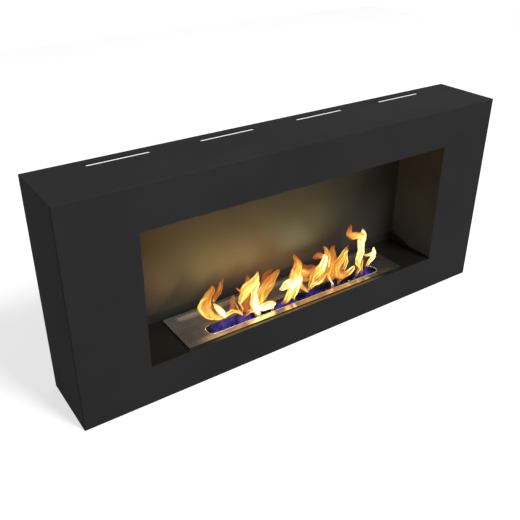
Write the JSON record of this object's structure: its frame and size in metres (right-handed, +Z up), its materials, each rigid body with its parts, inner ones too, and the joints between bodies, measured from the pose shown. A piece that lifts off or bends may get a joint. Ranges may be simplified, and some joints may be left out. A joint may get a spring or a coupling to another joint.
{
  "type": "bioethanol fireplace",
  "caption": "Flat wall-hung bioethanol fireplace: folded black steel casing with a wide open niche, a lift-out stainless burner and a sliding shutter that regulates and puts out the flames.",
  "frame": {"origin": "under the middle of the casing, on the plane of its underside, half way between its front face and the wall", "axes": "+X to the right as seen from the room, +Y towards the wall, +Z up"},
  "size_m": [0.9, 0.136, 0.4],
  "materials": {
    "black_powder_coat": "fine matt black powder coat",
    "niche_enamel": "smooth satin black heatproof paint",
    "zinc_plated_steel": "dull zinc plating",
    "brushed_stainless": "brushed along its length, a little heat tint",
    "ceramic_wool": "loose white ceramic fibre",
    "glass_fibre_tape": "matt black woven glass fibre"
  },
  "bodies": {
    "casing": {"outer_casing": "black_powder_coat", "hanging_bracket_left": "zinc_plated_steel", "hanging_bracket_right": "zinc_plated_steel", "bracket_rivet_left_upper": "zinc_plated_steel", "bracket_rivet_left_lower": "zinc_plated_steel", "bracket_rivet_right_upper": "zinc_plated_steel", "bracket_rivet_right_lower": "zinc_plated_steel", "niche_back_panel": "niche_enamel", "niche_left_panel": "niche_enamel", "niche_right_panel": "niche_enamel", "niche_ceiling_panel": "niche_enamel", "niche_floor_panel": "niche_enamel", "back_panel_screw_1": "zinc_plated_steel", "back_panel_screw_2": "zinc_plated_steel", "back_panel_screw_3": "zinc_plated_steel", "back_panel_screw_4": "zinc_plated_steel", "back_panel_screw_5": "zinc_plated_steel", "back_panel_screw_6": "zinc_plated_steel", "back_panel_screw_7": "zinc_plated_steel", "back_panel_screw_8": "zinc_plated_steel"},
    "burner": {"burner_top_plate": "brushed_stainless", "burner_gasket": "glass_fibre_tape", "drip_tray": "brushed_stainless", "fuel_tank": "brushed_stainless", "ceramic_wool_pad": "ceramic_wool", "wool_grid": "brushed_stainless", "shutter_rail_left": "brushed_stainless", "shutter_rail_right": "brushed_stainless"},
    "shutter": {"shutter_plate": "brushed_stainless"}
  },
  "joints": [
    {"name": "burner_lift", "type": "slide", "parent": "casing", "child": "burner", "axis": [0, 0, 1], "range_m": [0, 0.06]},
    {"name": "shutter_slide", "type": "slide", "parent": "burner", "child": "shutter", "axis": [0, -1, 0], "range_m": [0, 0.0215]}
  ]
}
